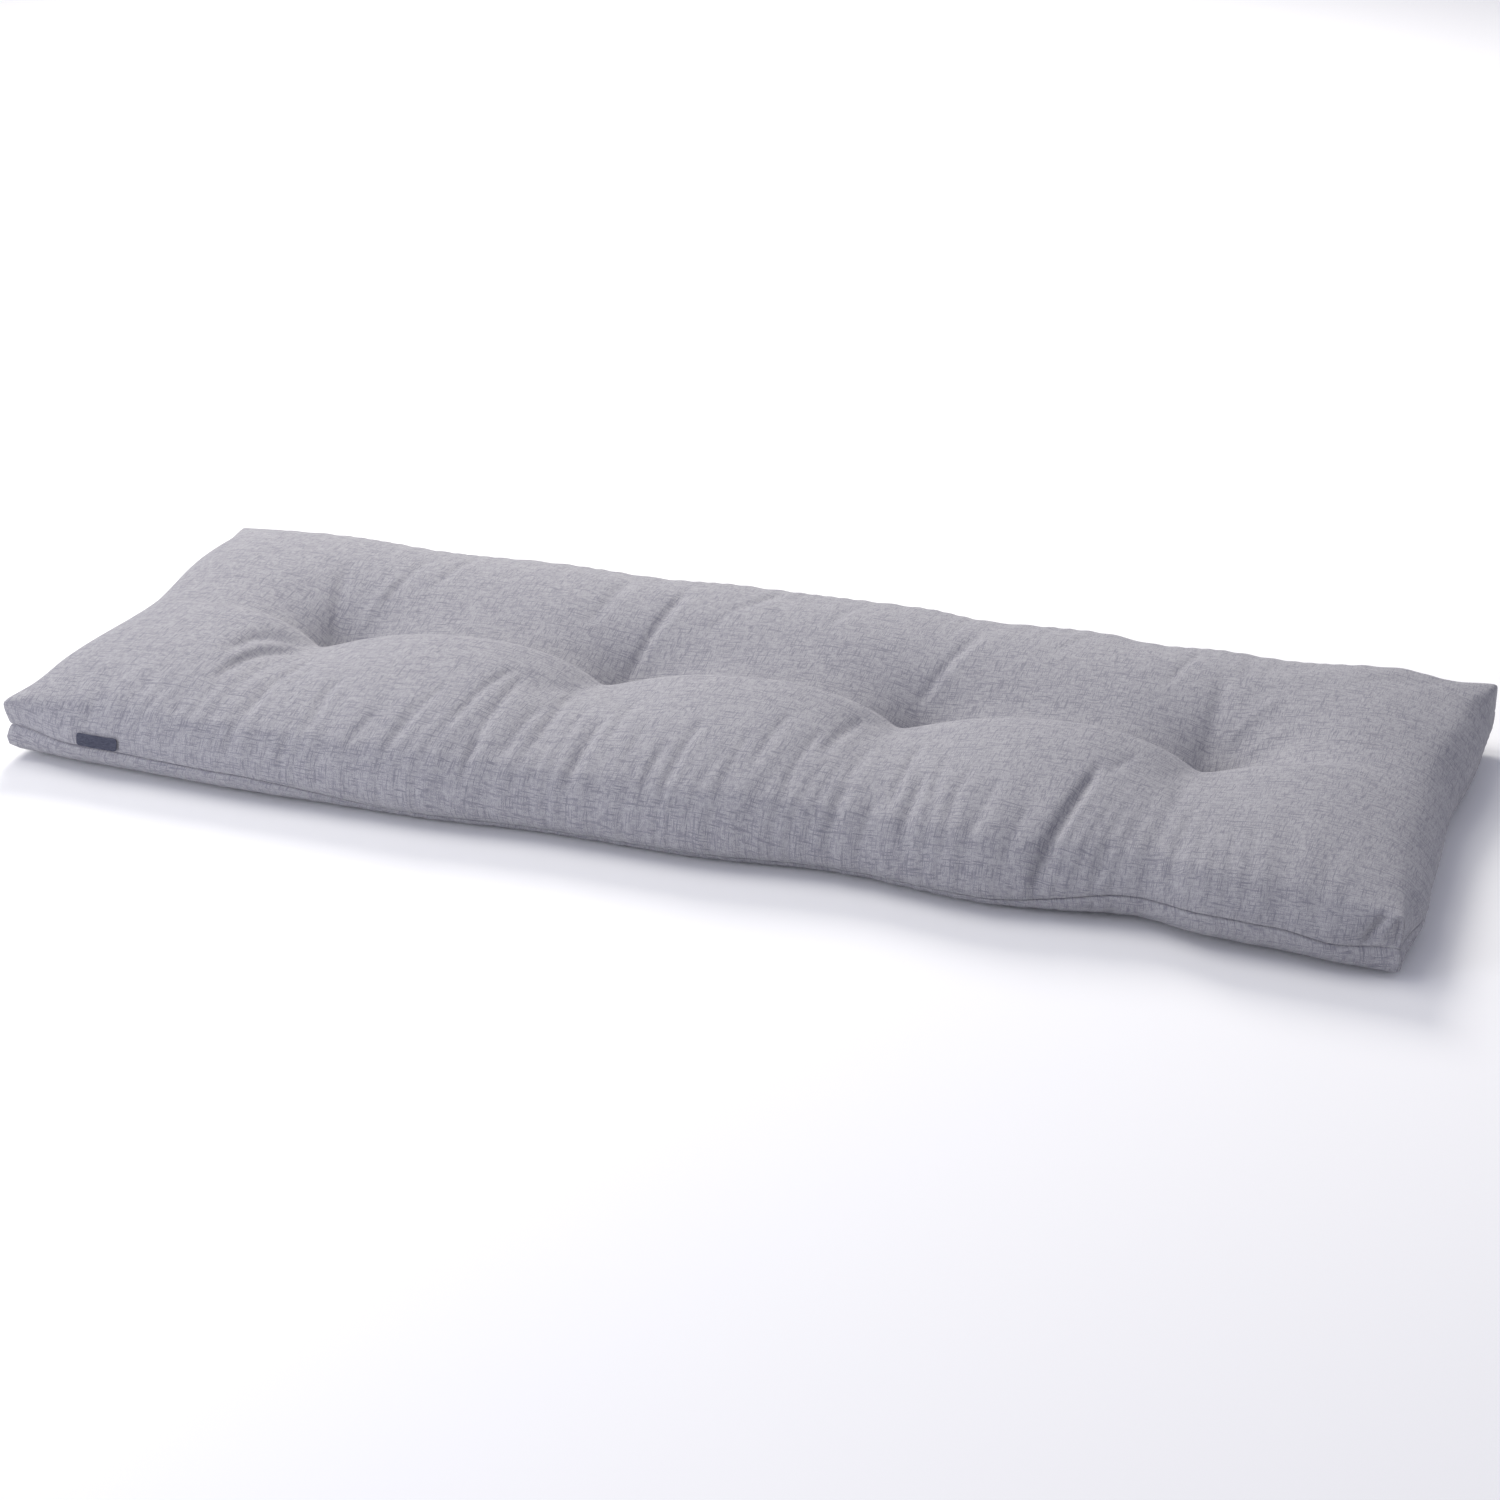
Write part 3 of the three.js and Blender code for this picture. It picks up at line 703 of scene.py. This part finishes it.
def label_points(surface):
    """Columns of points of the label, on an even sheet that clears the cloth behind it all over."""
    low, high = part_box("label")
    across = np.linspace(low[0], high[0], LABEL["columns"] + 1)
    up = np.linspace(-1, 1, LABEL["rows"] + 1)
    from_end = np.minimum(across - low[0], high[0] - across)
    turn = np.clip(1 - from_end / (LABEL["round"] * MM), 0, 1)
    half = (high[2] - low[2]) / 2 - LABEL["round"] * MM * (1 - np.sqrt(1 - turn**2))
    x = np.repeat(across, len(up))
    z = (low[2] + high[2]) / 2 + np.outer(half, up).ravel()
    start = low[1] - (high[0] - low[0])
    hits = [surface.ray_cast(Vector((a, start, b)), Vector((0, 1, 0)))[0] for a, b in zip(x, z)]
    front = np.array([hit.y for hit in hits])
    terms = np.stack([np.ones(x.size), x, x**2, z], axis=1)
    even = terms @ np.linalg.lstsq(terms, front, rcond=None)[0]
    y = even + (front - even).min() - LABEL["clearance"] * MM
    return np.stack([x, y, z], axis=1).reshape(len(across), len(up), 3)


def make_label(surface):
    """A narrow woven strip with rounded corners that follows the front of the cushion."""
    grid = label_points(surface)
    points = grid.reshape(-1, 3)
    quads = grid_quads(np.arange(len(points)).reshape(grid.shape[:2]))
    mesh = bpy.data.meshes.new("label_strip")
    mesh.from_pydata(points.tolist(), [], quads.tolist())
    layer = mesh.uv_layers.new(name="cloth")
    layer.data.foreach_set("uv", points[quads.ravel()][:, [0, 2]].astype(np.float32).ravel())
    mesh.materials.append(label_material())
    label = add_object("label_strip", mesh)
    thicken = label.modifiers.new("thickness", "SOLIDIFY")
    thicken.thickness = LABEL["thickness"] * MM
    thicken.offset = 1
    soften = label.modifiers.new("edge", "BEVEL")
    soften.width = LABEL["edge"] * MM
    soften.segments = 2
    bake_modifiers(label)
    label.data.shade_smooth()
    return label


def make_stitch(name, surface, tuft, material):
    """The two strands that hold a tuft, arched over the bottom of its pit."""
    above = (Vector(MIDDLE) + Vector((tuft.x, 0, CROWN * 2))) * MM
    bottom = surface.ray_cast(above, Vector((0, 0, -1)))[0]
    turn = np.linspace(0, 2 * np.pi, STITCH["sides"], endpoint=False)
    ring = STITCH["radius"] * np.stack([0 * turn, np.cos(turn), np.sin(turn)], axis=1)
    run = np.linspace(-1, 1, STITCH["steps"] + 1)
    rise = STITCH["arch"] - (STITCH["arch"] + STITCH["sink"]) * run**2
    points, faces = [], []
    for side in (-0.5, 0.5):
        middle = np.stack([run * STITCH["length"] / 2, 0 * run + side * STITCH["apart"], rise], axis=1)
        tube = (middle[:, None] + ring[None]).reshape(-1, 3)
        rings = (len(points) + np.arange(len(tube))).reshape(len(run), len(turn))
        for lower, upper in zip(rings, rings[1:]):
            faces.extend(ring_strip(lower, upper)[:, ::-1].tolist())
        faces.extend([rings[0].tolist(), rings[-1][::-1].tolist()])
        points.extend(tube.tolist())
    mesh = bpy.data.meshes.new(name)
    mesh.from_pydata((np.array(points) * MM + np.array(bottom)).tolist(), [], faces)
    mesh.materials.append(material)
    mesh.shade_smooth()
    return add_object(name, mesh)


def make_camera():
    azimuth, elevation = math.radians(CAMERA["azimuth"]), math.radians(CAMERA["elevation"])
    back = Vector((
        math.sin(azimuth) * math.cos(elevation),
        -math.cos(azimuth) * math.cos(elevation),
        math.sin(elevation),
    ))
    data = bpy.data.cameras.new("camera")
    data.lens = CAMERA["lens"]
    data.sensor_width = CAMERA["sensor"]
    camera = add_object("camera", data)
    camera.location = CAMERA_TARGET + back * CAMERA["distance"]
    camera.rotation_euler = (-back).to_track_quat("-Z", "Y").to_euler()
    bpy.context.scene.camera = camera


def make_light(light):
    data = bpy.data.lights.new(light.name, "AREA")
    data.shape = "DISK"
    data.size = light.size
    data.energy = light.power
    data.color = light.colour
    made = add_object(light.name, data)
    made.location = light.place
    made.rotation_euler = (-Vector(light.place)).to_track_quat("-Z", "Y").to_euler()


def make_stage():
    mesh = bpy.data.meshes.new("floor")
    reach = FLOOR["reach"]
    corners = [(-reach, -reach, 0), (reach, -reach, 0), (reach, reach, 0), (-reach, reach, 0)]
    mesh.from_pydata(corners, [], [(0, 1, 2, 3)])
    shader = Shader("floor")
    shader.set({"Base Color": FLOOR["colour"], "Roughness": FLOOR["roughness"]})
    mesh.materials.append(shader.material)
    add_object("floor", mesh)
    world = bpy.data.worlds.new("studio")
    world.use_nodes = True
    background = world.node_tree.nodes["Background"]
    background.inputs["Color"].default_value = SKY["colour"]
    background.inputs["Strength"].default_value = SKY["strength"]
    bpy.context.scene.world = world
    for light in LIGHTS:
        make_light(light)
    bpy.context.scene.view_settings.view_transform = "Standard"


# Neighbouring yarns are this far apart in the noise that gives them their tones.
YARN_GAP = 7.13


class Shader:
    """A material and short calls for building its nodes."""

    def __init__(self, name):
        self.material = bpy.data.materials.new(name)
        self.material.use_nodes = True
        self.tree = self.material.node_tree
        self.surface = self.tree.nodes["Principled BSDF"]

    def feed(self, socket, value):
        if isinstance(value, bpy.types.NodeSocket):
            self.tree.links.new(value, socket)
        else:
            socket.default_value = value

    def set(self, values):
        for name, value in values.items():
            self.feed(self.surface.inputs[name], value)

    def node(self, kind, inputs, output=0, **settings):
        made = self.tree.nodes.new(kind)
        for name, value in settings.items():
            setattr(made, name, value)
        for name, value in inputs.items():
            self.feed(made.inputs[name], value)
        return made.outputs[output]

    def math(self, operation, a, b=0.0):
        return self.node("ShaderNodeMath", {0: a, 1: b}, operation=operation)

    def cloth_place(self):
        """Place on the flat cloth, in metres along and across."""
        place = self.node("ShaderNodeUVMap", {}, uv_map="cloth")
        return [self.node("ShaderNodeSeparateXYZ", {0: place}, output=axis) for axis in (0, 1)]

    def yarn(self, number, along, length, seed):
        """Tone of a yarn that changes at random along its length, and from one yarn to the next."""
        apart = self.math("MULTIPLY", number, YARN_GAP)
        place = self.node("ShaderNodeCombineXYZ", {0: apart, 1: self.math("DIVIDE", along, length), 2: seed})
        return self.node("ShaderNodeTexNoise", {"Vector": place, "Scale": 1.0, "Detail": 1.0})

    def crown(self, count):
        """Height of a round yarn across its width, where the count of yarns gives the place."""
        return self.math("SINE", self.math("MULTIPLY", self.math("FRACT", count), math.pi))

    def step(self, value, start, end):
        """0 below the start, 1 above the end and smooth between them."""
        limits = {"Value": value, "From Min": start, "From Max": end}
        return self.node("ShaderNodeMapRange", limits, interpolation_type="SMOOTHSTEP")

    def mix(self, factor, a, b):
        return self.node("ShaderNodeMix", {0: factor, 2: a, 3: b}, data_type="FLOAT")

    def blend(self, factor, a, b):
        return self.node("ShaderNodeMix", {0: factor, 6: a, 7: b}, output=2, data_type="RGBA")


def cloth_material():
    """Plain weave of pale and blue-grey yarns that change tone along their length, with darker slubs."""
    pitch = 0.0008
    tone_length = 0.005
    tone_levels = (0.36, 0.64)
    slub_length = 0.015
    slub_levels = (0.54, 0.68)
    slub_share = 0.46
    pale_yarn = (0.420, 0.414, 0.430, 1)
    blue_yarn = (0.298, 0.293, 0.322, 1)
    slub_yarn = (0.140, 0.138, 0.180, 1)
    shader = Shader("melange")
    u, v = shader.cloth_place()
    warp_count, weft_count = shader.math("DIVIDE", u, pitch), shader.math("DIVIDE", v, pitch)
    warp_number, weft_number = shader.math("FLOOR", warp_count), shader.math("FLOOR", weft_count)
    over = shader.math("FLOORED_MODULO", shader.math("ADD", warp_number, weft_number), 2.0)
    warp = shader.step(shader.yarn(warp_number, v, tone_length, seed=3.1), *tone_levels)
    weft = shader.step(shader.yarn(weft_number, u, tone_length, seed=7.7), *tone_levels)
    warp_slub = shader.step(shader.yarn(warp_number, v, slub_length, seed=15.9), *slub_levels)
    weft_slub = shader.step(shader.yarn(weft_number, u, slub_length, seed=21.5), *slub_levels)
    slubs = shader.math("MULTIPLY", shader.math("MAXIMUM", warp_slub, weft_slub), slub_share)
    melange = shader.blend(shader.mix(over, warp, weft), pale_yarn, blue_yarn)
    colour = shader.blend(slubs, melange, slub_yarn)
    height = shader.mix(over, shader.crown(warp_count), shader.crown(weft_count))
    bump = shader.node("ShaderNodeBump", {"Height": height, "Strength": 0.35, "Distance": 0.0003})
    shader.set({
        "Base Color": colour, "Normal": bump, "Roughness": 0.92, "Specular IOR Level": 0.2,
        "Sheen Weight": 0.1, "Sheen Roughness": 0.5,
    })
    return shader.material


def label_material():
    """Dark slate ribbon with fine ribs and a paler thread here and there."""
    pitch = 0.00045
    tone_length = 0.003
    tone_levels = (0.35, 0.7)
    dark_rib = (0.050, 0.053, 0.080, 1)
    pale_rib = (0.085, 0.090, 0.125, 1)
    shader = Shader("ribbon")
    u, v = shader.cloth_place()
    ribs = shader.math("DIVIDE", v, pitch)
    tone = shader.yarn(shader.math("FLOOR", ribs), u, tone_length, seed=2.3)
    colour = shader.blend(shader.step(tone, *tone_levels), dark_rib, pale_rib)
    bump = shader.node("ShaderNodeBump", {"Height": shader.crown(ribs), "Strength": 0.5, "Distance": 0.0002})
    shader.set({"Base Color": colour, "Normal": bump, "Roughness": 0.75, "Specular IOR Level": 0.3})
    return shader.material


def thread_material():
    """Grey twisted thread, with painted shade in the grooves between its turns."""
    twist = 0.0011
    groove_painted_shade = (0.20, 0.20, 0.235, 1)
    thread_grey = (0.40, 0.395, 0.42, 1)
    shader = Shader("thread")
    place = shader.node("ShaderNodeTexCoord", {}, output="Object")
    x, y, z = (shader.node("ShaderNodeSeparateXYZ", {0: place}, output=axis) for axis in range(3))
    turns = shader.math("DIVIDE", shader.math("ADD", x, shader.math("ADD", y, z)), twist)
    strand = shader.crown(turns)
    # Painted shade: the colour darkens where the crown of each turn falls away into its groove.
    colour = shader.blend(strand, groove_painted_shade, thread_grey)
    bump = shader.node("ShaderNodeBump", {"Height": strand, "Strength": 0.5, "Distance": 0.0002})
    shader.set({"Base Color": colour, "Normal": bump, "Roughness": 0.8})
    return shader.material


make_camera()
make_stage()

cushion = make_cushion()
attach(cushion, "root")
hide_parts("cushion")

surface = surface_of(cushion)
label = make_label(surface)
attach(label, "root")
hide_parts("label")

thread = thread_material()
for number, tuft in enumerate(TUFTS, 1):
    stitch = make_stitch(f"tuft_stitch_{number}", surface, tuft, thread)
    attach(stitch, "root")
